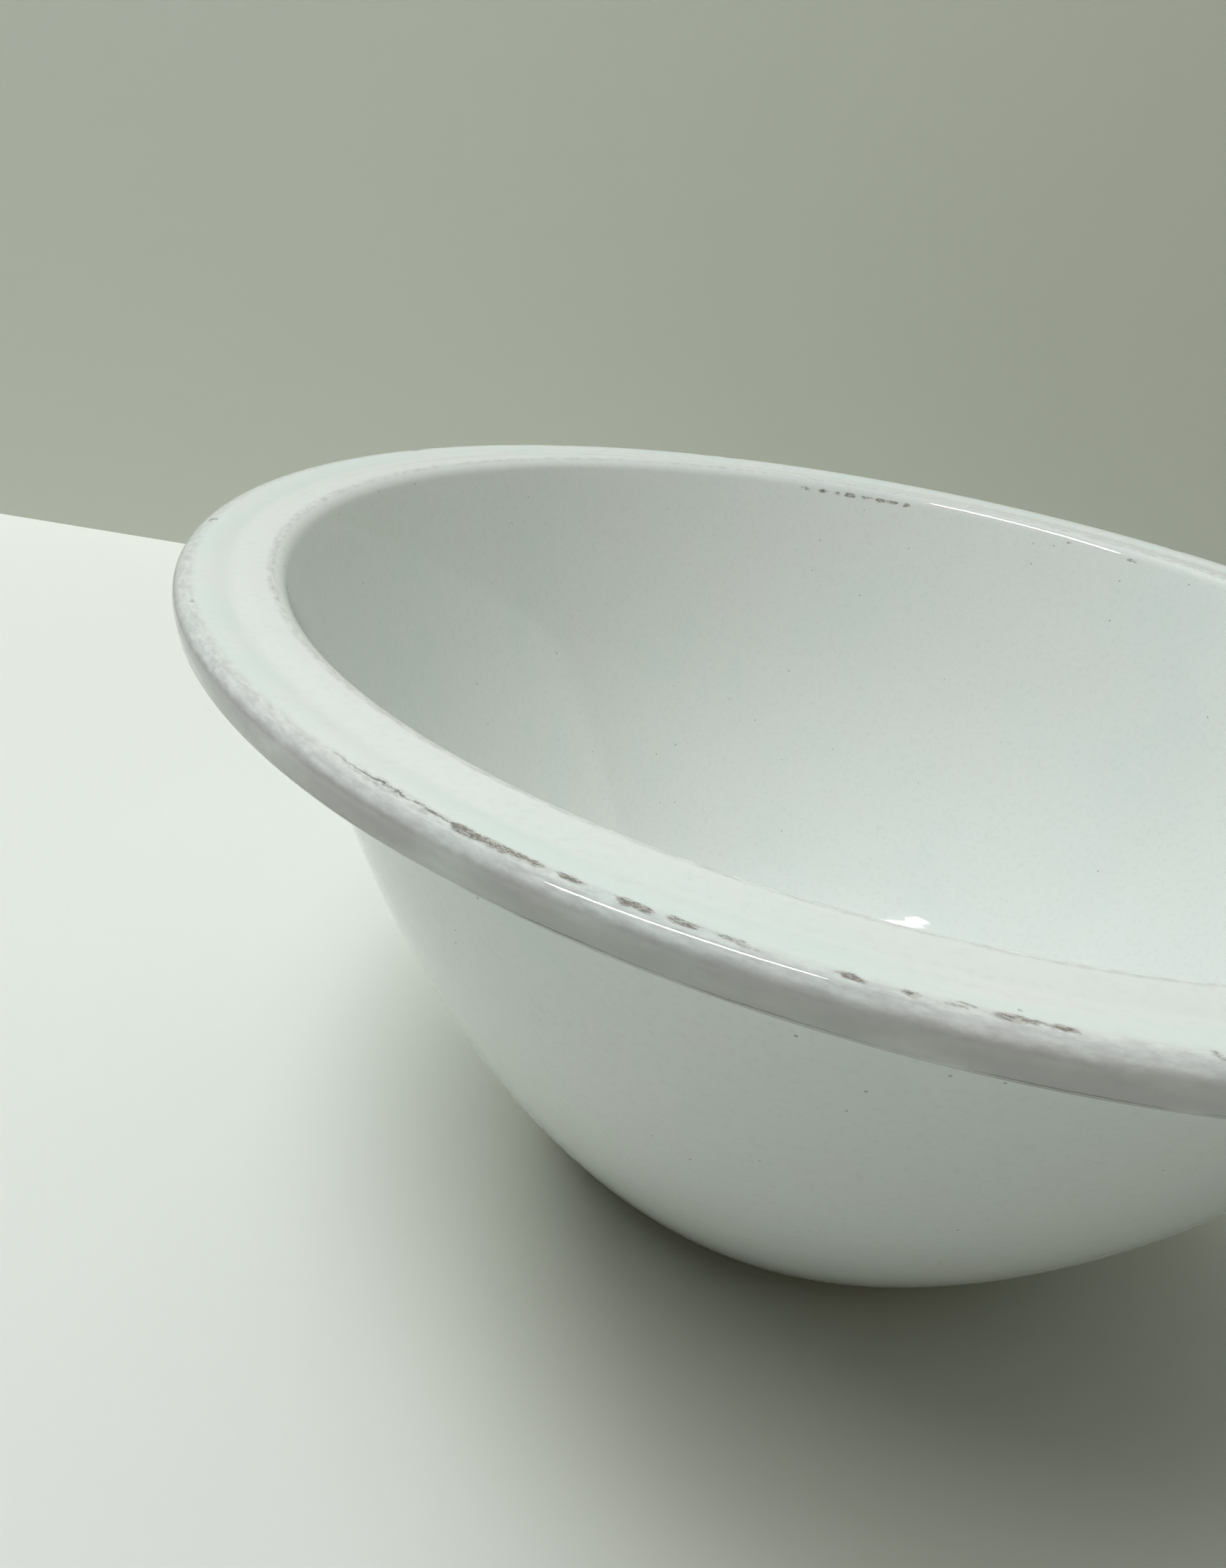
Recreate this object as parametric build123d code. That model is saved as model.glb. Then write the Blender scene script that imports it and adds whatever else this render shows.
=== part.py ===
"""A round mixing bowl in glazed white earthenware, with a flat grooved rim.

The bowl is one turned clay body with a thin coat of glass glaze over it.
Everything is a figure of revolution about Z.  The origin is the middle of the
foot ring, on the surface that the bowl stands on, and +Z points up.
Sections are drawn as radius and height, then turned round the axis.
"""
from build123d import *
import os
from math import cos, radians, sin, tan

# ---- driving dimensions, millimetres and degrees ----
rim_radius = 140.0          # outermost point of the rim
height = 127.0              # foot to the crest of the rim
wall_thickness = 4.0        # clay and both glaze layers together
glaze_thickness = 0.4

# the wall: a tight turn above the foot, a long belly arc, then a straight cone
foot_joint = (60.5, 4.0)    # lower end of the belly arc, outside
belly_radius = 239.3
lean_at_foot = 43.6         # lean of the outer wall from the vertical
lean_of_cone = 21.0
lean_at_floor_turn = 38.0   # where the inside leaves the belly arc for the floor
floor_height = 8.5

# the rim: inner land, groove, outer land, rolled outer edge with a small lip
inner_edge_rounding = 4.0
inner_land_drop = 0.6       # below the crest
groove_radius = 131.2
groove_depth = 0.8          # below the crest
groove_half_width = 2.6
crest_radius = 135.6
outer_edge_rounding = 2.6
edge_lean = 10.0            # the edge band leans in towards its lower side
edge_depth = 6.3            # crest to the underside of the lip
lip_width = 2.6
flange_thickness = 4.5
underside_rounding = 4.0

# the foot ring, tucked in under the belly
belly_tip = 1.0             # how far the wall runs on below the belly arc
foot_tuck = 3.3             # how far the ring stands in from that
foot_width = 5.0
foot_draft = 0.3            # how far each side of the ring leans
recess_depth = 2.5
foot_rounding = 0.8
bare_foot_height = 1.5      # the glaze is wiped off up to here

axis_margin = 5.0           # spare size of the cutting rectangles


def direction(lean):
    """Unit vector up a wall that leans outwards by so many degrees."""
    return Vector(sin(radians(lean)), cos(radians(lean)))


def belly_centre():
    normal = Vector(cos(radians(lean_at_foot)), -sin(radians(lean_at_foot)))
    return Vector(*foot_joint) - normal * belly_radius


def on_belly(radius, lean):
    """Point of an arc about the belly centre, where the wall has this lean."""
    return belly_centre() + Vector(cos(radians(lean)), -sin(radians(lean))) * radius


def up_the_cone(start, level):
    """Point of the straight upper wall at a given height."""
    return Vector(start.X + (level - start.Y) * tan(radians(lean_of_cone)), level)


def rim_outline(inner_start, outer_end):
    """Open outline from the inside of the wall, over the rim, to the outside."""
    land = height - inner_land_drop
    underside = land - flange_thickness
    lip = height - edge_depth
    slope = tan(radians(edge_lean))
    band_top = Vector(
        rim_radius - outer_edge_rounding * (1 - cos(radians(edge_lean))),
        height - outer_edge_rounding * (1 + sin(radians(edge_lean))),
    )
    corner = Vector(band_top.X + (height - band_top.Y) * slope, height)
    band_foot = Vector(band_top.X - (band_top.Y - lip) * slope, lip)
    points_and_roundings = [
        (inner_start, None),
        (up_the_cone(inner_start, land), inner_edge_rounding),
        (Vector(groove_radius - groove_half_width, land + 0.1), 8.0),
        (Vector(groove_radius, height - groove_depth), 6.0),
        (Vector(groove_radius + groove_half_width, height - 0.2), 10.0),
        (Vector(crest_radius, height), 12.0),
        (corner, outer_edge_rounding),
        (band_foot, 1.6),
        (Vector(band_foot.X - lip_width, lip), 0.7),
        (Vector(band_foot.X - lip_width - 0.4, underside), 0.3),
        (up_the_cone(outer_end, underside), underside_rounding),
        (outer_end, None),
    ]
    points = [point for point, _ in points_and_roundings]
    roundings = [rounding for _, rounding in points_and_roundings[1:-1]]
    return FilletPolyline(*points, radius=roundings)


def foot_outline():
    """Open outline from the belly arc, round the foot ring, to the axis."""
    start = Vector(*foot_joint)
    tip = start - direction(lean_at_foot) * belly_tip
    neck = tip - Vector(foot_tuck, 0)
    outside = neck.X - foot_draft
    inside = outside - foot_width
    points_and_roundings = [
        (start, None),
        (tip, 0.7),
        (neck, 1.2),
        (Vector(outside, 0), foot_rounding),
        (Vector(inside, 0), foot_rounding),
        (Vector(inside - foot_draft, recess_depth), 1.2),
        (Vector(0, recess_depth), None),
    ]
    points = [point for point, _ in points_and_roundings]
    roundings = [rounding for _, rounding in points_and_roundings[1:-1]]
    return FilletPolyline(*points, radius=roundings)


def bowl_section():
    """Half section of the finished bowl, clay and glaze together."""
    centre = belly_centre()
    inner_radius = belly_radius - wall_thickness
    outer_belly = CenterArc(centre, belly_radius, -lean_at_foot, lean_at_foot - lean_of_cone)
    inner_belly = CenterArc(centre, inner_radius, -lean_at_floor_turn, lean_at_floor_turn - lean_of_cone)
    rim = rim_outline(on_belly(inner_radius, lean_of_cone), on_belly(belly_radius, lean_of_cone))
    foot = foot_outline()
    turn_start = on_belly(inner_radius, lean_at_floor_turn)
    turn_radius = (turn_start.Y - floor_height) / (1 - sin(radians(lean_at_floor_turn)))
    floor_edge = turn_start.X - turn_radius * cos(radians(lean_at_floor_turn))
    floor_turn = CenterArc(
        Vector(floor_edge, floor_height + turn_radius), turn_radius, -90, 90 - lean_at_floor_turn
    )
    floor = Line((0, floor_height), (floor_edge, floor_height))
    axis_line = Line((0, recess_depth), (0, floor_height))
    return make_face([*floor.edges(), *floor_turn.edges(), *inner_belly.edges(), *rim.edges(),
                      *outer_belly.edges(), *foot.edges(), *axis_line.edges()])


def right_half():
    """Everything on the drawn side of the axis."""
    size = rim_radius + height
    return Pos(size / 2, height / 2) * Rectangle(size, height + axis_margin)


def clay_section(whole):
    """The section less its glaze, with the bare foot ring put back."""
    mirrored = whole + mirror(whole, about=Plane.YZ)
    under_glaze = offset(mirrored, amount=-glaze_thickness) & right_half()
    ring_zone = Pos(rim_radius / 2, bare_foot_height / 2) * Rectangle(rim_radius, bare_foot_height)
    return under_glaze + (whole & ring_zone)


def turned(section):
    """Turn a section, drawn as radius and height, round the axis."""
    return revolve(Plane.XZ * section, Axis.Z, 360)


whole_section = bowl_section()
clay = clay_section(whole_section)
glaze_faces = (whole_section - clay).faces().sort_by(Axis.Y)

nodes = {
    "clay_body": turned(clay),
    "recess_glaze": turned(glaze_faces[0]),
    "glaze_coat": turned(glaze_faces[-1]),
}

os.makedirs("parts", exist_ok=True)
for name, solid in nodes.items():
    export_step(solid, f"parts/{name}.step")
    print(name, "volume", round(solid.volume, 1), "box", solid.bounding_box())
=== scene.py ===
"""White glazed mixing bowl: the fine glaze, the finishes, the stage, the light and the camera.

The clay and the glaze in the foot's recess are the CAD solids with better materials.
The glaze coat is modelled again at a finer resolution from the same section, so that
its gloss reads as glass, and it carries the wear of the rim.
"""
from math import atan2, ceil, cos, pi, radians, sin, tan

import bpy
import numpy as np
from bpy.props import FloatProperty, FloatVectorProperty, IntProperty, PointerProperty
from mathutils import Matrix, Vector


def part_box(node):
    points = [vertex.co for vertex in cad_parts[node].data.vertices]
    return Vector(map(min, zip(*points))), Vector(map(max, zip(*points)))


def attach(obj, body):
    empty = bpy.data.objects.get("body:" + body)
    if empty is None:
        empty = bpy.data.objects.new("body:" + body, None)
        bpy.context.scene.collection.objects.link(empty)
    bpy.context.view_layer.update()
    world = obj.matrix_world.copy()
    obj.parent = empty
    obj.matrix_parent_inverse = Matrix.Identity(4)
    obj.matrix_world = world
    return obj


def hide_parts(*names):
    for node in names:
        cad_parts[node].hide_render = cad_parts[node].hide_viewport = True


bl_info = {
    "name": "White glazed mixing bowl",
    "version": (1, 0, 0),
    "blender": (4, 5, 0),
    "location": "View3D > Sidebar > Mixing bowl",
    "description": "Models a white glazed mixing bowl with a worn, grooved rim",
    "category": "Add Mesh",
}

MM = 0.001
JOINED = 0.01 * MM                       # points nearer to each other than this are one point

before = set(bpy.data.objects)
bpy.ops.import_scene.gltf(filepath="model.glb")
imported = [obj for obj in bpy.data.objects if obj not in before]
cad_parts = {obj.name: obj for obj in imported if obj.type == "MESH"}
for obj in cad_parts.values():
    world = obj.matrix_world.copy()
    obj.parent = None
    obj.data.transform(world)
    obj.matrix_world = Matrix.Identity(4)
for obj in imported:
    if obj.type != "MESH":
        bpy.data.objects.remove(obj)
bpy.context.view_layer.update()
glaze_low, glaze_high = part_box("glaze_coat")
RIM_RADIUS = (glaze_high.x - glaze_low.x) / 2
HEIGHT = glaze_high.z


def linear(hex_colour):
    """An sRGB hex colour as linear red, green and blue."""
    parts = [int(hex_colour[i:i + 2], 16) / 255 for i in (1, 3, 5)]
    return tuple(c / 12.92 if c <= 0.04045 else ((c + 0.055) / 1.055) ** 2.4 for c in parts)


def length(name, description, millimetres):
    """A length property, given in millimetres."""
    return FloatProperty(
        name=name, description=description, default=millimetres * MM, unit="LENGTH", precision=5
    )


def colour(name, description, hex_colour):
    """A colour property, given as sRGB hex."""
    return FloatVectorProperty(
        name=name, description=description, default=linear(hex_colour), subtype="COLOR", min=0, max=1
    )


class BowlShape(bpy.types.PropertyGroup):
    """Sizes of the bowl's section and of the unevenness of its glaze"""

    wall: length("Wall", "Thickness of the wall, clay and glaze together", 4.0)
    glaze: length("Glaze", "Thickness of the glaze on the clay", 0.4)
    floor: length("Floor height", "Height of the inside floor above the table", 8.5)
    bare_foot: length("Bare foot", "Height that the glaze is wiped off the foot", 1.5)
    belly: length("Belly radius", "Radius of the long arc of the wall", 239.3)
    belly_end_radius: length("Belly end radius", "Radius of the belly arc's lower end", 60.5)
    belly_end_height: length("Belly end height", "Height of the belly arc's lower end", 4.0)
    belly_tip: length("Belly tip", "How far the wall runs on below the belly arc", 1.0)
    foot_tuck: length("Foot tuck", "How far the foot ring stands in under the belly", 3.3)
    lean_at_foot: FloatProperty(
        name="Lean at the foot", description="Lean of the wall above the foot",
        default=radians(43.6), subtype="ANGLE",
    )
    lean_of_cone: FloatProperty(
        name="Lean of the cone", description="Lean of the straight upper wall",
        default=radians(21.0), subtype="ANGLE",
    )
    lean_at_turn: FloatProperty(
        name="Lean at the floor turn", description="Lean where the inside turns to the floor",
        default=radians(38.0), subtype="ANGLE",
    )
    inner_edge: length("Inner edge", "Rounding of the rim's inner edge", 4.0)
    land_drop: length("Land drop", "How far the inner land lies below the crest", 0.6)
    groove_radius: length("Groove radius", "Radius of the groove in the rim", 131.2)
    groove_depth: length("Groove depth", "Depth of the groove below the crest", 0.8)
    groove_half: length("Groove half width", "Half the width of the groove", 2.6)
    crest_radius: length("Crest radius", "Radius of the highest ring of the rim", 135.6)
    outer_edge: length("Outer edge", "Rounding of the rim's upper outer edge", 2.6)
    edge_lean: FloatProperty(
        name="Edge lean", description="Lean of the outer band, inwards and down",
        default=radians(10.0), subtype="ANGLE",
    )
    edge_depth: length("Edge depth", "Crest to the underside of the lip", 6.3)
    lip_width: length("Lip width", "Width of the lip's underside", 2.6)
    flange: length("Flange", "Thickness of the flat rim", 4.5)
    under_edge: length("Under edge", "Rounding between the wall and the rim's underside", 4.0)
    segments: IntProperty(name="Segments", description="Steps of the full turn", default=480, min=24)


class BowlColours(bpy.types.PropertyGroup):
    """Colours of the clay, the glaze and its wear"""

    glaze: colour("Glaze", "White opaque glaze", "#E8ECE8")
    pooled: colour("Pooled glaze", "Glaze where it lies thicker", "#DCECE6")
    # this grey is real rubbing, and on the rim's outer band it also stands in for painted shade
    rubbed: colour("Rubbed edge", "Grey bloom where the glaze is rubbed", "#8C8789")
    stain: colour("Stain", "Dirt held in worn glaze", "#5C5650")
    bare: colour("Worn through", "Clay showing where the glaze is worn through", "#A19783")
    clay: colour("Clay", "Fired biscuit clay", "#D3C2A2")
    clay_dark: colour("Dark clay grain", "Darker grain in the clay", "#A58E68")
    floor: colour("Floor", "Plain pale floor", "#E1E5E0")
    wall: colour("Backdrop", "Plain backdrop", "#D1D6CA")
    air: colour("Air", "Dim light from all sides", "#DAD3BC")


def settings():
    return bpy.context.scene.bowl_shape


def palette():
    return bpy.context.scene.bowl_colours


# ---- the section: corners with roundings, in the plane of radius and height ----

def uphill(lean):
    """Unit step up a wall that leans outwards."""
    return Vector((sin(lean), cos(lean)))


def meeting(point_a, step_a, point_b, step_b):
    """Where two lines of the section cross."""
    across = step_a.x * step_b.y - step_a.y * step_b.x
    gap = point_b - point_a
    return point_a + step_a * ((gap.x * step_b.y - gap.y * step_b.x) / across)


def section_corners():
    """Corners of the glazed surface, from the middle of the floor, over the rim, to the foot."""
    s = settings()
    belly_end = Vector((s.belly_end_radius, s.belly_end_height))
    centre = belly_end - s.belly * Vector((cos(s.lean_at_foot), -sin(s.lean_at_foot)))

    def on_belly(radius, lean):
        return centre + radius * Vector((cos(lean), -sin(lean)))

    def cone_at(start, level):
        return Vector((start.x + (level - start.y) * tan(s.lean_of_cone), level))

    inner = s.belly - s.wall
    inner_turn = on_belly(inner, s.lean_at_turn)
    inner_cone = on_belly(inner, s.lean_of_cone)
    outer_cone = on_belly(s.belly, s.lean_of_cone)
    outer_foot = on_belly(s.belly, s.lean_at_foot)
    turn_radius = (inner_turn.y - s.floor) / (1 - sin(s.lean_at_turn))
    floor_line = Vector((0, s.floor)), Vector((1, 0))
    land = HEIGHT - s.land_drop
    underside = land - s.flange
    lip = HEIGHT - s.edge_depth
    band_top = Vector((
        RIM_RADIUS - s.outer_edge * (1 - cos(s.edge_lean)),
        HEIGHT - s.outer_edge * (1 + sin(s.edge_lean)),
    ))
    band_foot = Vector((band_top.x - (band_top.y - lip) * tan(s.edge_lean), lip))
    tip = outer_foot - s.belly_tip * uphill(s.lean_at_foot)
    neck = tip - Vector((s.foot_tuck, 0))
    return [
        (Vector((0, s.floor)), 0),
        (meeting(*floor_line, inner_turn, uphill(s.lean_at_turn)), turn_radius),
        (meeting(inner_turn, uphill(s.lean_at_turn), inner_cone, uphill(s.lean_of_cone)), inner),
        (cone_at(inner_cone, land), s.inner_edge),
        (Vector((s.groove_radius - s.groove_half, land + 0.1 * MM)), 8.0 * MM),
        (Vector((s.groove_radius, HEIGHT - s.groove_depth)), 6.0 * MM),
        (Vector((s.groove_radius + s.groove_half, HEIGHT - 0.2 * MM)), 10.0 * MM),
        (Vector((s.crest_radius, HEIGHT)), 12.0 * MM),
        (Vector((band_top.x + (HEIGHT - band_top.y) * tan(s.edge_lean), HEIGHT)), s.outer_edge),
        (band_foot, 1.6 * MM),
        (Vector((band_foot.x - s.lip_width, lip)), 0.7 * MM),
        (Vector((band_foot.x - s.lip_width - 0.4 * MM, underside)), 0.3 * MM),
        (cone_at(outer_cone, underside), s.under_edge),
        (meeting(outer_cone, uphill(s.lean_of_cone), outer_foot, uphill(s.lean_at_foot)), s.belly),
        (tip, 0.7 * MM),
        (neck, 1.2 * MM),
        (Vector((neck.x - 0.3 * MM * (1 - s.bare_foot / neck.y), s.bare_foot)), 0),
    ]


def inset(corners, depth):
    """The same corners moved to the right of the line's travel, with the roundings kept parallel."""
    points = [corner for corner, _ in corners]
    steps = [(b - a).normalized() for a, b in zip(points, points[1:])]
    sides = [Vector((step.y, -step.x)) * depth for step in steps]
    moved = [(points[0] + sides[0], 0)]
    for i in range(1, len(points) - 1):
        before, after = steps[i - 1], steps[i]
        turn = before.x * after.y - before.y * after.x
        rounding = corners[i][1] + (depth if turn > 0 else -depth)
        moved.append((
            meeting(points[i] + sides[i - 1], before, points[i] + sides[i], after),
            max(rounding, 0),
        ))
    moved.append((points[-1] + sides[-1], 0))
    return moved


def rounded(corners, longest, widest):
    """Points of an outline with its corners made arcs.

    No step is longer than `longest` metres or turns by more than `widest` radians.
    """
    points = [corners[0][0]]
    for i in range(1, len(corners) - 1):
        corner, rounding = corners[i]
        before = (corner - corners[i - 1][0]).normalized()
        after = (corners[i + 1][0] - corner).normalized()
        turn = before.x * after.y - before.y * after.x
        angle = atan2(turn, before.dot(after))
        if rounding == 0 or abs(angle) < 1e-6:
            points.append(corner)
            continue
        start = corner - before * rounding * tan(abs(angle) / 2)
        side = 1 if angle > 0 else -1
        centre = start + Vector((-before.y, before.x)) * rounding * side
        count = ceil(max(abs(angle) / widest, abs(angle) * rounding / longest))
        spoke = start - centre
        for k in range(count + 1):
            swing = angle * k / count
            points.append(centre + Vector((
                spoke.x * cos(swing) - spoke.y * sin(swing),
                spoke.x * sin(swing) + spoke.y * cos(swing),
            )))
    points.append(corners[-1][0])
    spaced = [points[0]]
    for point in points[1:]:
        gap = point - spaced[-1]
        if gap.length < JOINED:
            continue
        count = ceil(gap.length / longest)
        start = spaced[-1].copy()
        spaced += [start + gap * k / count for k in range(1, count + 1)]
    return spaced


# ---- modelling ----

# longest step and widest turn of the outline, where it is seen and where it lies on the clay
SEEN_STEP, SEEN_TURN = 8 * MM, radians(9)
HIDDEN_STEP, HIDDEN_TURN = 14 * MM, radians(24)
SHARP_EDGE = radians(50)


def deselect_all():
    if bpy.context.mode != "OBJECT":
        bpy.ops.object.mode_set(mode="OBJECT")
    bpy.ops.object.select_all(action="DESELECT")


def drawn_outline(name, points):
    """A new wire mesh along the points: one vertex of a primitive, extruded from point to point."""
    deselect_all()
    bpy.ops.mesh.primitive_plane_add(size=MM, location=(0, 0, 0))
    piece = bpy.context.object
    piece.name = piece.data.name = name
    bpy.ops.object.mode_set(mode="EDIT")
    bpy.ops.mesh.select_all(action="SELECT")
    bpy.ops.mesh.merge(type="CENTER")
    at = Vector((0, 0, 0))
    for i, point in enumerate(points):
        step = Vector((point.x, 0, point.y)) - at
        if i == 0:
            bpy.ops.transform.translate(value=step)
        else:
            bpy.ops.mesh.extrude_region_move(TRANSFORM_OT_translate={"value": step})
        at += step
    return piece


def turned(piece, segments):
    """Spin the outline in edit mode into a closed figure of revolution, with its normals outwards."""
    bpy.ops.mesh.select_all(action="SELECT")
    bpy.ops.mesh.spin(steps=segments, angle=2 * pi, center=(0, 0, 0), axis=(0, 0, 1))
    bpy.ops.mesh.select_all(action="SELECT")
    bpy.ops.mesh.remove_doubles(threshold=JOINED)
    bpy.ops.mesh.normals_make_consistent(inside=False)
    bpy.ops.object.mode_set(mode="OBJECT")
    bpy.ops.object.shade_smooth_by_angle(angle=SHARP_EDGE)
    return piece


def node(tree, kind, inputs=None, **how):
    """Add one node with its settings; each input is a value or another node's output."""
    made = tree.nodes.new(kind)
    for key, value in how.items():
        setattr(made, key, value)
    for key, value in (inputs or {}).items():
        if isinstance(value, bpy.types.NodeSocket):
            tree.links.new(value, made.inputs[key])
        else:
            made.inputs[key].default_value = value
    return made


def new_material(name):
    """An empty node material and its tree."""
    made = bpy.data.materials.new(name)
    made.use_nodes = True
    made.node_tree.nodes.clear()
    return made, made.node_tree


# ---- wear: where the glaze is worn, as azimuth and half width in degrees, and strength ----

WORN_SPOTS = [
    (-106.5, 0.9, 1.0), (-104.6, 0.6, 0.7), (-103.1, 0.5, 0.8), (-101.0, 0.6, 0.8), (-97.8, 0.7, 1.0),
    (-95.7, 0.6, 0.8), (-93.2, 0.8, 0.6), (-88.7, 0.5, 0.9), (-86.4, 0.5, 0.6), (-84.3, 0.5, 0.6),
    (-81.9, 0.9, 0.7), (-80.1, 0.6, 0.6), (-74.3, 0.5, 0.5), (-63.0, 0.7, 0.7), (-31.0, 1.0, 0.7),
    (-8.0, 0.5, 0.6), (22.0, 0.9, 0.9), (25.5, 0.5, 0.6), (61.0, 0.6, 0.6), (118.0, 0.8, 0.8),
    (121.5, 0.5, 0.6), (163.0, 0.9, 0.7), (-158.0, 0.6, 0.6), (-139.0, 0.5, 0.5),
]
HAIRLINES = [(-111.2, 4.6, 1.0), (44.0, 3.6, 0.8), (141.0, 3.0, 0.7)]
CHIPPED_EDGE = [
    (108.6, 0.5, 0.6), (106.4, 0.7, 0.7), (104.3, 0.5, 0.8), (102.4, 0.8, 0.9), (100.2, 0.6, 0.7),
    (98.2, 0.7, 1.0), (96.3, 0.5, 0.9), (94.4, 0.5, 0.8), (72.0, 0.4, 0.6), (63.5, 0.6, 0.7),
    (18.0, 0.8, 0.8), (-37.0, 0.7, 0.7), (-146.0, 0.6, 0.6),
]


def around(azimuth, places):
    """Strength of the places listed at each azimuth, in degrees, with soft edges."""
    total = np.zeros_like(azimuth)
    for middle, half, strength in places:
        away = (azimuth - middle + 180) % 360 - 180
        total += strength * np.exp(-(away / half) ** 4)
    return np.minimum(total, 1)


def mark_wear(piece, outline):
    """Store on each point its wear, and how far it lies along the section from the outer corner, in mm."""
    mesh = piece.data
    points = np.empty(len(mesh.vertices) * 3)
    mesh.vertices.foreach_get("co", points)
    points = points.reshape(-1, 3)
    section = np.array([(point.x, point.y) for point in outline])
    travel = np.concatenate([[0], np.cumsum(np.hypot(*np.diff(section, axis=0).T))])
    travel -= travel[section.sum(axis=1).argmax()]
    radius = np.hypot(points[:, 0], points[:, 1])
    gaps = (radius[:, None] - section[:, 0]) ** 2 + (points[:, 2, None] - section[:, 1]) ** 2
    azimuth = np.degrees(np.arctan2(points[:, 1], points[:, 0]))
    values = {
        "run": travel[gaps.argmin(axis=1)] / MM,
        "worn": around(azimuth, WORN_SPOTS),
        "hairline": around(azimuth, HAIRLINES),
        "chipped": around(azimuth, CHIPPED_EDGE),
    }
    for name, value in values.items():
        mesh.attributes.new(name, "FLOAT", "POINT").data.foreach_set("value", value)


# ---- materials ----

FACTOR, COLOUR_A, COLOUR_B, MIXED = 0, 6, 7, 2      # sockets of a colour Mix node

# lines round the rim, in mm along the section from the outer corner: inwards is less, downwards more
CHIPPED_LINE = -18.8
INNER_EDGE = -14.8
OUTER_LAND = -5.2
HAIRLINE = -2.1
WORN_LINE = -1.9
OUTER_EDGE = -0.4
BAND_RUB_AND_SHADE = 3.4
LIP_LINE = 5.2

# heights and depths on the glaze, in mm
SWELL = 0.03
PEEL = 0.004
PINHOLE = 0.08
WORN_DEPTH = 0.08

DRAWN_OUT = 0.35                         # how far a feature's place counts along the rim
GLAZE_IOR = 1.52
GLAZE_ROUGHNESS = 0.05
WORN_ROUGHNESS = 0.3                     # added where the glaze is worn through
RECESS_ROUGHNESS = 0.08


def per_mm(size):
    """Scale of a pattern on coordinates in metres, for features of this size in millimetres."""
    return 1 / (size * MM)


def product(tree, value, other):
    """Both multiplied, or the value alone where there is no other."""
    if other is None:
        return value
    return node(tree, "ShaderNodeMath", {0: value, 1: other}, operation="MULTIPLY").outputs[0]


def stripe(tree, run, middle, half, soft, within=None):
    """1 within `half` mm of a line round the rim, fading over `soft` mm, and only within another mask."""
    away = node(tree, "ShaderNodeMath", {0: run, 1: middle}, operation="SUBTRACT").outputs[0]
    away = node(tree, "ShaderNodeMath", {0: away}, operation="ABSOLUTE").outputs[0]
    mask = node(tree, "ShaderNodeMapRange", {
        "Value": away, "From Min": half, "From Max": half + soft, "To Min": 1, "To Max": 0,
    }, interpolation_type="SMOOTHSTEP").outputs["Result"]
    return product(tree, mask, within)


def broken_up(tree, pattern, low, high, most=1.0, within=None):
    """Patches where a pattern is high: 0 below `low`, softly up to `most` at `high`, within another mask."""
    mask = node(tree, "ShaderNodeMapRange", {
        "Value": pattern, "From Min": low, "From Max": high, "To Max": most,
    }, interpolation_type="SMOOTHSTEP").outputs["Result"]
    return product(tree, mask, within)


def tinted(tree, base, tint, mask, strength=None):
    """A colour taken towards a tint, by the strength, where the mask is 1."""
    return node(tree, "ShaderNodeMix", {
        FACTOR: product(tree, mask, strength), COLOUR_A: base, COLOUR_B: (*tint, 1),
    }, data_type="RGBA").outputs[MIXED]


def sunk(tree, height, mask, depth):
    """A height lowered by the depth, in mm, where the mask is 1."""
    return node(tree, "ShaderNodeMath", {
        0: height, 1: product(tree, mask, depth),
    }, operation="SUBTRACT").outputs[0]


def glaze_ground(tree, place):
    """Colour and height in mm of sound glaze: cloudy where it pooled, with pinholes and orange peel."""
    clouds = node(tree, "ShaderNodeTexNoise", {
        "Vector": place, "Scale": per_mm(34), "Detail": 3, "Roughness": 0.6,
    }).outputs["Fac"]
    mottle = node(tree, "ShaderNodeTexNoise", {
        "Vector": place, "Scale": per_mm(1.3), "Detail": 2,
    }).outputs["Fac"]
    base = tinted(tree, (*palette().glaze, 1), palette().pooled, broken_up(tree, clouds, 0.4, 0.75, 0.4))
    base = tinted(tree, base, palette().rubbed, broken_up(tree, mottle, 0.45, 0.85, 0.08))
    cells = node(tree, "ShaderNodeTexVoronoi", {"Vector": place, "Scale": per_mm(5)})
    chosen = node(tree, "ShaderNodeSeparateColor", {"Color": cells.outputs["Color"]}).outputs["Red"]
    middle = stripe(tree, cells.outputs["Distance"], 0, 0.03, 0.03)
    pinhole = broken_up(tree, chosen, 0.55, 0.6, within=middle)
    base = tinted(tree, base, palette().stain, pinhole, 0.5)
    peel = product(tree, mottle, PEEL)
    swell = node(tree, "ShaderNodeTexNoise", {"Vector": place, "Scale": per_mm(14)}).outputs["Fac"]
    height = node(tree, "ShaderNodeMath", {
        0: swell, 1: SWELL, 2: peel,
    }, operation="MULTIPLY_ADD").outputs[0]
    return base, sunk(tree, height, pinhole, PINHOLE)


def glaze_shader(tree, base, height, roughness):
    """Glassy coat: a hard, sharp gloss over an opaque white."""
    bump = node(tree, "ShaderNodeBump", {"Height": height, "Distance": MM})
    shader = node(tree, "ShaderNodeBsdfPrincipled", {
        "Base Color": base, "Roughness": roughness, "IOR": GLAZE_IOR, "Normal": bump.outputs["Normal"],
    })
    node(tree, "ShaderNodeOutputMaterial", {"Surface": shader.outputs["BSDF"]})


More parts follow.
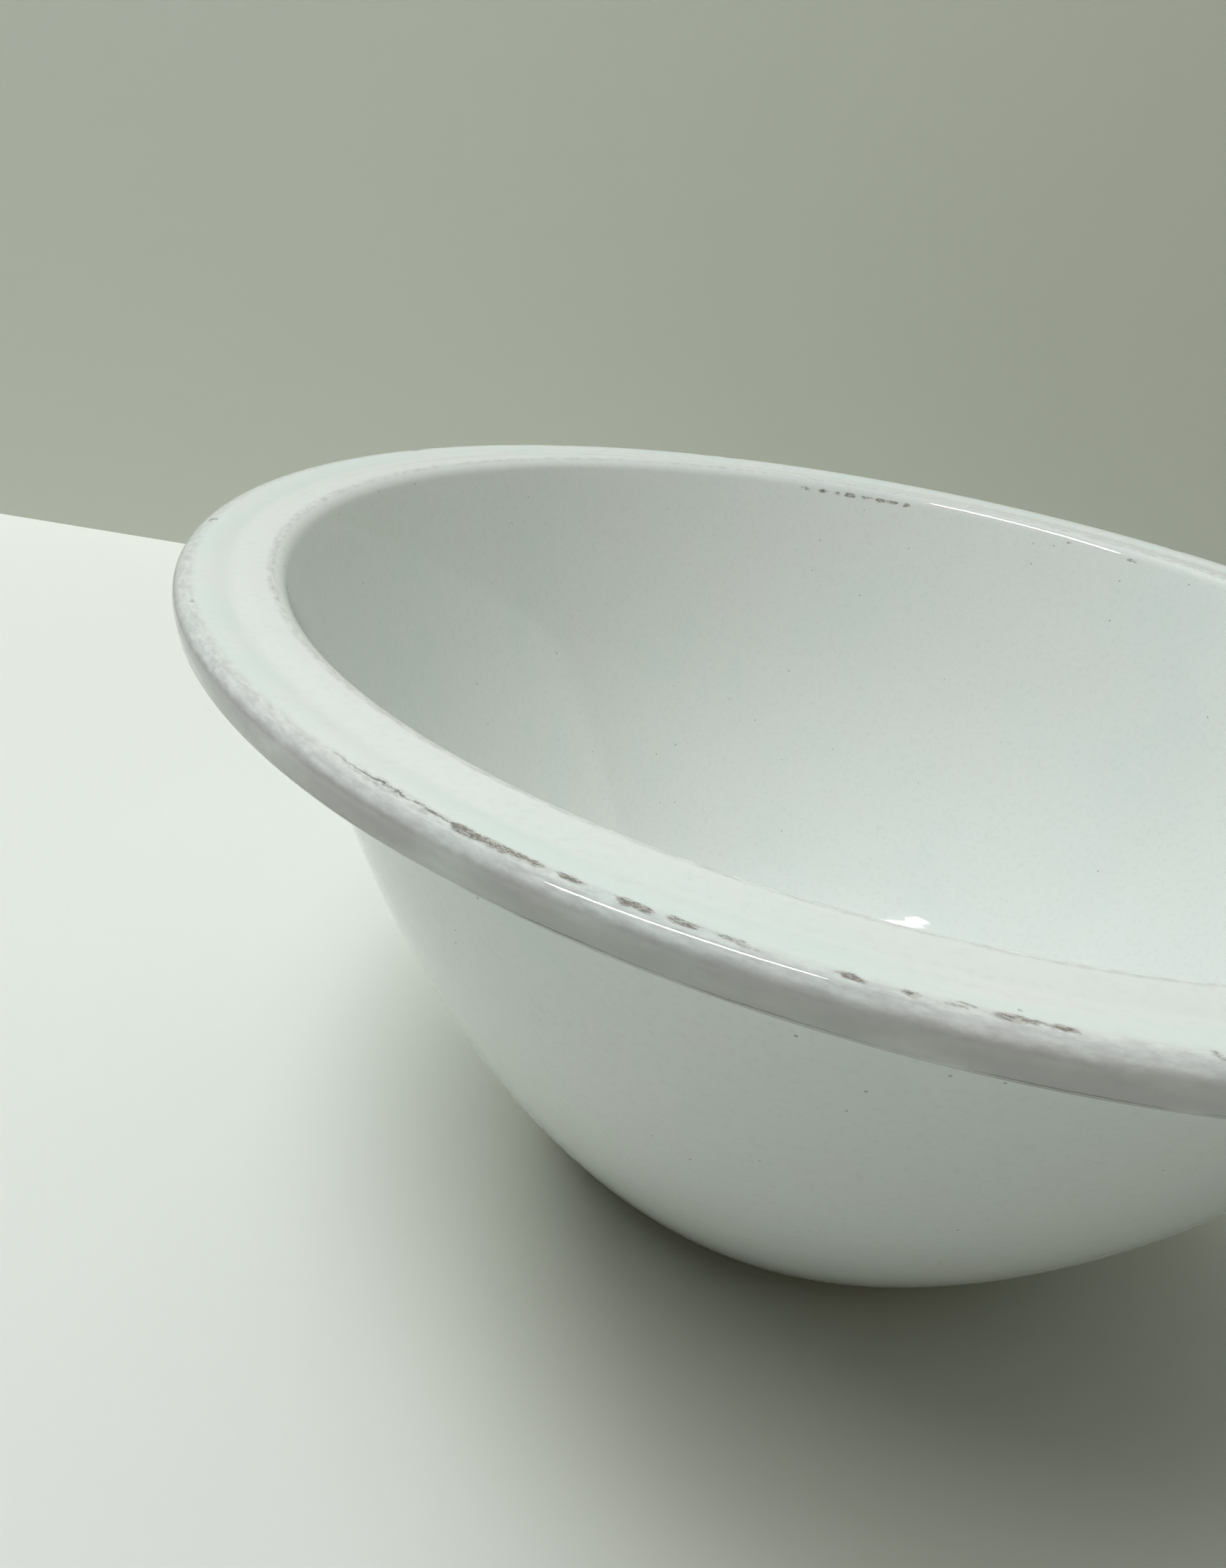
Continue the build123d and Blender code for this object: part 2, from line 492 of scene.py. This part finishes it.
def worn_white_glaze():
    """Tin-white earthenware glaze, fired glossy, rubbed grey along the rim and worn through in spots, with
    painted shade greying the outer band below the rim.
    """
    made, tree = new_material("tin_white_earthenware_glaze")
    place = node(tree, "ShaderNodeTexCoord").outputs["Object"]
    run, worn, hairline, chipped = (
        node(tree, "ShaderNodeAttribute", attribute_name=name).outputs["Fac"]
        for name in ("run", "worn", "hairline", "chipped")
    )
    base, height = glaze_ground(tree, place)

    # features drawn out along the rim: positions shortened by the stretch, plus the way across the rim
    across = node(tree, "ShaderNodeCombineXYZ", {"Z": product(tree, run, MM)}).outputs[0]
    drawn = node(tree, "ShaderNodeVectorMath", {
        0: place, 1: (DRAWN_OUT, DRAWN_OUT, 0), 2: across,
    }, operation="MULTIPLY_ADD").outputs[0]
    streaks = node(tree, "ShaderNodeTexNoise", {
        "Vector": drawn, "Scale": per_mm(0.9), "Detail": 4, "Roughness": 0.65,
    }).outputs["Fac"]
    patches = node(tree, "ShaderNodeTexNoise", {
        "Vector": drawn, "Scale": per_mm(6), "Detail": 3,
    }).outputs["Fac"]

    # glaze that ran off the edges while molten lies thicker on the outer land, and looks cooler there
    thick = broken_up(tree, patches, 0.35, 0.65, 0.6, within=stripe(tree, run, OUTER_LAND, 1.4, 2.2))
    base = tinted(tree, base, palette().pooled, thick)

    # the outer edge is rubbed grey in fine streaks and the inner edge barely; the band below the outer edge
    # is greyed more evenly, partly real rubbing and partly painted shade
    fine = node(tree, "ShaderNodeTexNoise", {
        "Vector": drawn, "Scale": per_mm(0.6), "Detail": 4, "Roughness": 0.7,
    }).outputs["Fac"]
    edge = broken_up(tree, streaks, 0.2, 0.8, 0.4, within=stripe(tree, run, OUTER_EDGE, 1.0, 1.8))
    # painted shade: the band's even grey tint partly stands in for the shade on the outer band, and partly
    # for real rubbing
    band = broken_up(tree, patches, 0.05, 0.6, 0.5, within=stripe(tree, run, BAND_RUB_AND_SHADE, 2.0, 1.4))
    inner = broken_up(tree, streaks, 0.35, 0.7, 0.35, within=stripe(tree, run, INNER_EDGE, 0.3, 0.8))
    for mask in (edge, band, inner):
        base = tinted(tree, base, palette().rubbed, mask)

    # spots worn through: clay colour showing faintly, broken by fine stained veins
    line = node(tree, "ShaderNodeMath", {
        0: stripe(tree, run, WORN_LINE, 0.1, 1.0, within=worn),
        1: stripe(tree, run, CHIPPED_LINE, 0.1, 0.9, within=chipped),
    }, operation="MAXIMUM").outputs[0]
    ragged = node(tree, "ShaderNodeMath", {
        0: streaks, 1: 1.3, 2: line,
    }, operation="MULTIPLY_ADD").outputs[0]
    spot = broken_up(tree, ragged, 0.85, 1.3, within=broken_up(tree, line, 0.02, 0.2))
    veins = stripe(tree, fine, 0.5, 0.025, 0.06, within=spot)
    base = tinted(tree, base, palette().bare, spot, 0.5)
    base = tinted(tree, base, palette().stain, veins, 0.75)

    # a faint, broken dark line along the band's lower edge, just above the lip
    wander = node(tree, "ShaderNodeTexNoise", {
        "Vector": place, "Scale": per_mm(4), "Detail": 4, "Roughness": 0.7,
    }).outputs["Fac"]
    lip_line = node(tree, "ShaderNodeMath", {
        0: wander, 1: 0.6, 2: run,
    }, operation="MULTIPLY_ADD").outputs[0]
    lip_line = broken_up(tree, patches, 0.35, 0.6, 0.6, within=stripe(tree, lip_line, LIP_LINE, 0.04, 0.14))
    base = tinted(tree, base, palette().stain, lip_line)

    # hairlines: a thin dark crack that wanders along the edge, in a grey halo
    wander = node(tree, "ShaderNodeMath", {
        0: wander, 1: 2.4, 2: -1.2,
    }, operation="MULTIPLY_ADD").outputs[0]
    wander = node(tree, "ShaderNodeMath", {0: run, 1: wander}, operation="ADD").outputs[0]
    thin = stripe(tree, wander, HAIRLINE, 0.08, 0.16, within=hairline)
    wide = stripe(tree, wander, HAIRLINE, 0.3, 0.7, within=hairline)
    base = tinted(tree, base, palette().rubbed, broken_up(tree, streaks, 0.4, 0.7, 0.5, within=wide))
    base = tinted(tree, base, palette().stain, broken_up(tree, streaks, 0.3, 0.5, within=thin), 0.75)

    height = sunk(tree, height, spot, WORN_DEPTH)
    roughness = node(tree, "ShaderNodeMath", {
        0: spot, 1: WORN_ROUGHNESS, 2: GLAZE_ROUGHNESS,
    }, operation="MULTIPLY_ADD").outputs[0]
    glaze_shader(tree, base, height, roughness)
    return made


def recess_glaze():
    """The same glaze under the foot, never rubbed: an even, slightly softer gloss, with pinholes."""
    made, tree = new_material("tin_white_recess_glaze")
    place = node(tree, "ShaderNodeTexCoord").outputs["Object"]
    base, height = glaze_ground(tree, place)
    glaze_shader(tree, base, height, RECESS_ROUGHNESS)
    return made


def biscuit_clay():
    """Fired buff earthenware, wiped bare: matt and chalky, with fine darker grain and grit."""
    made, tree = new_material("buff_biscuit_earthenware")
    place = node(tree, "ShaderNodeTexCoord").outputs["Object"]
    grain = node(tree, "ShaderNodeTexNoise", {
        "Vector": place, "Scale": per_mm(0.8), "Detail": 5, "Roughness": 0.7,
    }).outputs["Fac"]
    clouds = node(tree, "ShaderNodeTexNoise", {
        "Vector": place, "Scale": per_mm(12), "Detail": 3,
    }).outputs["Fac"]
    base = tinted(tree, (*palette().clay, 1), palette().clay_dark, broken_up(tree, grain, 0.45, 0.8, 0.8))
    base = tinted(tree, base, palette().rubbed, broken_up(tree, clouds, 0.5, 0.8, 0.4))
    bump = node(tree, "ShaderNodeBump", {"Height": product(tree, grain, 0.12), "Distance": MM})
    shader = node(tree, "ShaderNodeBsdfPrincipled", {
        "Base Color": base, "Roughness": 0.9, "Specular IOR Level": 0.3, "Normal": bump.outputs["Normal"],
    })
    node(tree, "ShaderNodeOutputMaterial", {"Surface": shader.outputs["BSDF"]})
    return made


def refinish(node_name, material):
    """Give a CAD solid, by its own material slots, a better material."""
    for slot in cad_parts[node_name].material_slots:
        slot.material = material


class BOWL_OT_glaze_coat(bpy.types.Operator):
    """Model the coat of glaze over the bowl and give it its worn white finish"""

    bl_idname = "bowl.glaze_coat"
    bl_label = "Glaze coat"

    def execute(self, context):
        s = settings()
        outside = rounded(section_corners(), SEEN_STEP, SEEN_TURN)
        against_clay = rounded(inset(section_corners(), s.glaze), HIDDEN_STEP, HIDDEN_TURN)
        loop = outside + list(reversed(against_clay))
        piece = drawn_outline("bowl_glaze", loop)
        turned(piece, s.segments)
        mark_wear(piece, outside)
        piece.data.materials.clear()
        piece.data.materials.append(worn_white_glaze())
        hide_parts("glaze_coat")
        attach(piece, "root")
        return {"FINISHED"}


class BOWL_OT_clay(bpy.types.Operator):
    """Give the clay body its bare biscuit finish"""

    bl_idname = "bowl.clay"
    bl_label = "Clay body"

    def execute(self, context):
        refinish("clay_body", biscuit_clay())
        return {"FINISHED"}


class BOWL_OT_recess(bpy.types.Operator):
    """Give the glaze in the foot's recess its finish"""

    bl_idname = "bowl.recess"
    bl_label = "Recess glaze"

    def execute(self, context):
        refinish("recess_glaze", recess_glaze())
        return {"FINISHED"}


# ---- stage ----

CAMERA_DISTANCE = 1.652 * RIM_RADIUS     # level distance from the axis
CAMERA_RISE = 0.4404 * RIM_RADIUS        # above the rim's crest
CAMERA_PAN = radians(13.45)
CAMERA_PITCH = radians(24.62)
CAMERA_ROLL = radians(9.28)
CAMERA_LENS = 26.03                      # millimetres
CAMERA_SENSOR = 36                       # millimetres on the long side
CAMERA_SHIFT = (-0.0056, -0.0252)

STAGE_SIZE = 8                           # metres, the floor and the backdrop alike
WALL_DISTANCE = 2.492 * RIM_RADIUS       # from the axis to the backdrop
WALL_RISE = 2                            # metres from the floor to the backdrop's middle

LIGHT_DISTANCE = 1.6                     # metres from the bowl to each broad light
LIGHT_SIDE = 0.6                         # metres

# broad soft lights: name, azimuth and elevation in degrees, watts, colour
BROAD_LIGHTS = [
    ("high_left", 193, 66, 8.8, "#E9F1FF"),
    ("high_front", 236, 66, 6.0, "#FFF9EE"),
    ("low_behind", 131, 21, 9.6, "#FFFBF0"),
    ("low_right", 345, 34, 0.3, "#FFEFCF"),
]

# a narrow light overhead draws the crisp lines along the rim's edges
STRIP_START = Vector((-0.60, -0.42, 1.33))
STRIP_END = Vector((0.02, 0.02, 1.33))
STRIP_WIDTH = 0.06
STRIP_POWER = 12.0                       # watts

# a wide, dim light overhead fills the shadows
CEILING_HEIGHT = 2.0
CEILING_SIDE = 2.0
CEILING_POWER = 7.0                      # watts
CEILING_COLOUR = "#F4F8FF"

AIR_STRENGTH = 0.12


def area_light(name, place, along, size, power, tint):
    """A rectangular light aimed at the middle of the bowl, with its long side along a direction."""
    light = bpy.data.lights.new(name, "AREA")
    light.shape = "RECTANGLE"
    light.size, light.size_y = size
    light.energy = power
    light.color = tint
    lamp = bpy.data.objects.new(name, light)
    away = (place - Vector((0, 0, HEIGHT * 0.6))).normalized()
    along = (along - away * away.dot(along)).normalized()
    turn = Matrix((along, away.cross(along), away)).transposed().to_4x4()
    lamp.matrix_world = Matrix.Translation(place) @ turn
    bpy.context.scene.collection.objects.link(lamp)
    return lamp


def plain_surface(name, tint):
    """Matt, even paint or cloth for the stage, clear from behind so that it hides nothing."""
    made, tree = new_material(name)
    paint = node(tree, "ShaderNodeBsdfPrincipled", {
        "Base Color": (*tint, 1), "Roughness": 0.9, "Specular IOR Level": 0.2,
    })
    clear = node(tree, "ShaderNodeBsdfTransparent")
    seen = node(tree, "ShaderNodeMixShader", {
        0: node(tree, "ShaderNodeNewGeometry").outputs["Backfacing"],
        1: paint.outputs["BSDF"],
        2: clear.outputs["BSDF"],
    })
    node(tree, "ShaderNodeOutputMaterial", {"Surface": seen.outputs["Shader"]})
    return made


class BOWL_OT_stage(bpy.types.Operator):
    """Set up the floor, the backdrop, the light and the camera"""

    bl_idname = "bowl.stage"
    bl_label = "Stage"

    def execute(self, context):
        deselect_all()
        scene = context.scene
        back = Vector((-sin(CAMERA_PAN), cos(CAMERA_PAN), 0))

        bpy.ops.mesh.primitive_plane_add(size=STAGE_SIZE, location=(0, 0, 0))
        floor = context.object
        floor.name = "stage_floor"
        floor.data.materials.append(plain_surface("pale_floor", palette().floor))

        deselect_all()
        bpy.ops.mesh.primitive_plane_add(
            size=STAGE_SIZE, location=back * WALL_DISTANCE + Vector((0, 0, WALL_RISE)),
            rotation=(pi / 2, 0, CAMERA_PAN),
        )
        wall = context.object
        wall.name = "stage_wall"
        wall.visible_shadow = False
        wall.data.materials.append(plain_surface("backdrop_paint", palette().wall))

        for name, azimuth, elevation, power, tint in BROAD_LIGHTS:
            turn = Matrix.Rotation(radians(azimuth), 3, "Z") @ Matrix.Rotation(-radians(elevation), 3, "Y")
            broad = area_light(
                name, turn @ Vector((LIGHT_DISTANCE, 0, 0)), Vector((1, 0, 0)),
                (LIGHT_SIDE, LIGHT_SIDE), power, linear(tint),
            )
            broad.visible_glossy = False
        ceiling = area_light(
            "ceiling", Vector((0, 0, CEILING_HEIGHT)), Vector((1, 0, 0)),
            (CEILING_SIDE, CEILING_SIDE), CEILING_POWER, linear(CEILING_COLOUR),
        )
        ceiling.visible_glossy = False
        strip = area_light(
            "edge_strip", (STRIP_START + STRIP_END) / 2, STRIP_END - STRIP_START,
            ((STRIP_END - STRIP_START).length, STRIP_WIDTH), STRIP_POWER, (1, 1, 1),
        )
        strip.visible_diffuse = False

        world = scene.world or bpy.data.worlds.new("studio")
        scene.world = world
        world.use_nodes = True
        air = world.node_tree.nodes["Background"]
        air.inputs["Color"].default_value = (*palette().air, 1)
        air.inputs["Strength"].default_value = AIR_STRENGTH
        scene.view_settings.view_transform = "Standard"

        lens = bpy.data.cameras.new("camera")
        lens.lens = CAMERA_LENS
        lens.sensor_width = CAMERA_SENSOR
        lens.shift_x, lens.shift_y = CAMERA_SHIFT
        lens.clip_start = 0.01
        camera = bpy.data.objects.new("camera", lens)
        turn = (Matrix.Rotation(CAMERA_PAN, 4, "Z") @ Matrix.Rotation(pi / 2 - CAMERA_PITCH, 4, "X")
                @ Matrix.Rotation(CAMERA_ROLL, 4, "Z"))
        camera.rotation_euler = turn.to_euler()
        camera.location = (0, -CAMERA_DISTANCE, HEIGHT + CAMERA_RISE)
        scene.collection.objects.link(camera)
        scene.camera = camera
        return {"FINISHED"}


class BOWL_PT_panel(bpy.types.Panel):
    """Lists the bowl's pieces and the stage"""

    bl_idname = "BOWL_PT_panel"
    bl_label = "Mixing bowl"
    bl_space_type = "VIEW_3D"
    bl_region_type = "UI"
    bl_category = "Mixing bowl"

    def draw(self, context):
        for operator in OPERATORS:
            self.layout.operator(operator.bl_idname)


GROUPS = (BowlShape, BowlColours)
OPERATORS = (BOWL_OT_glaze_coat, BOWL_OT_clay, BOWL_OT_recess, BOWL_OT_stage)


def register():
    for cls in (*GROUPS, *OPERATORS, BOWL_PT_panel):
        bpy.utils.register_class(cls)
    bpy.types.Scene.bowl_shape = PointerProperty(type=BowlShape)
    bpy.types.Scene.bowl_colours = PointerProperty(type=BowlColours)


def unregister():
    del bpy.types.Scene.bowl_colours
    del bpy.types.Scene.bowl_shape
    for cls in reversed((*GROUPS, *OPERATORS, BOWL_PT_panel)):
        bpy.utils.unregister_class(cls)


def main():
    register()
    bpy.ops.bowl.glaze_coat()
    bpy.ops.bowl.clay()
    bpy.ops.bowl.recess()
    bpy.ops.bowl.stage()


if __name__ == "__main__":
    main()
